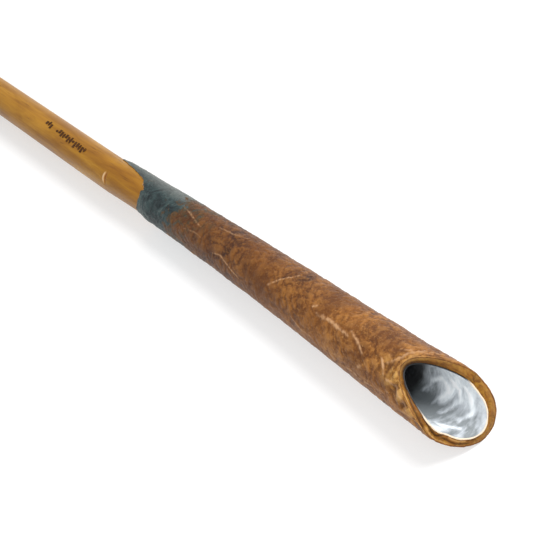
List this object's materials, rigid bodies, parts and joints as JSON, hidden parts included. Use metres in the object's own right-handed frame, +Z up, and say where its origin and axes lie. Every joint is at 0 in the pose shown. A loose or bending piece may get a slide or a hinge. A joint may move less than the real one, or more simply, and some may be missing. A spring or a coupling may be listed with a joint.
{
  "type": "lawn game cue",
  "caption": "Long round wooden cue with a tapered, skin-covered hollow head that opens upwards in an oblique scoop-shaped mouth lined in silver.",
  "frame": {"origin": "on the ground, under the middle of the cue's bounding box, with the cue lying at rest on its lip and its butt", "axes": "+X from the butt to the mouth, +Z up, the way the mouth opens; the cue's own axis rises towards +X by a third of a degree, because the head is thicker than the butt"},
  "size_m": [1.32, 0.0422, 0.0415],
  "materials": {
    "honey_wood": "clear varnish, satin",
    "raw_wood": "cut and oiled, matte",
    "brown_skin": "mottled, creased, rubbed to a low sheen",
    "silver_paint": "silver paint with brush marks",
    "green_paint": "blue-green paint, scuffed",
    "pin_wood": "bare hardwood dowel",
    "dark_rubber": "matte"
  },
  "bodies": {
    "root": {"shaft": "honey_wood", "head_core": "raw_wood", "head_skin": "brown_skin", "cup_lining": "silver_paint", "neck_collar": "green_paint", "rear_pin": "pin_wood", "front_pin": "pin_wood", "butt_cap": "dark_rubber"}
  },
  "joints": []
}
